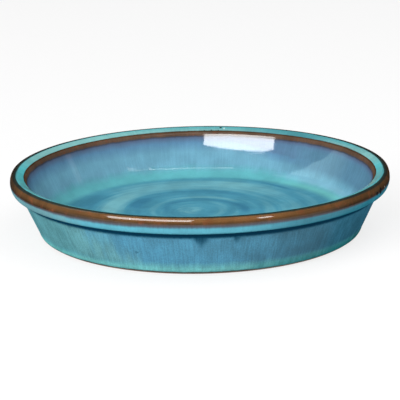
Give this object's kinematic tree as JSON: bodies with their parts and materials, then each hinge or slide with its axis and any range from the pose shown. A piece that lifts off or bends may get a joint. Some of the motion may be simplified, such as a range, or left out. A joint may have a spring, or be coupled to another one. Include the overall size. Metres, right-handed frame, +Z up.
{
  "type": "plant saucer",
  "caption": "Round glazed clay plant saucer: flared wall, thick rolled rim collar with brown edges, flat floor for a pot and a bare foot ring; catches drained water.",
  "frame": {"origin": "centre of the foot on the ground", "axes": "+Z up along the axis of the round saucer; X and Y are equivalent"},
  "size_m": [0.254, 0.254, 0.0422],
  "materials": {
    "fired_clay": "bare fired brown clay, matt and slightly rough",
    "floor_glaze": "glossy pooled teal glaze over throwing rings",
    "wall_glaze": "glossy streaked blue glaze",
    "rim_glaze": "glossy turquoise glaze",
    "brown_glaze": "glossy brown where the glaze breaks thin over an edge"
  },
  "bodies": {
    "root": {"clay_body": "fired_clay", "floor_glaze": "floor_glaze", "inside_wall_glaze": "wall_glaze", "inner_edge_glaze": "brown_glaze", "rim_top_glaze": "rim_glaze", "lip_edge_glaze": "brown_glaze", "collar_glaze": "wall_glaze", "outside_wall_glaze": "wall_glaze"}
  },
  "joints": []
}
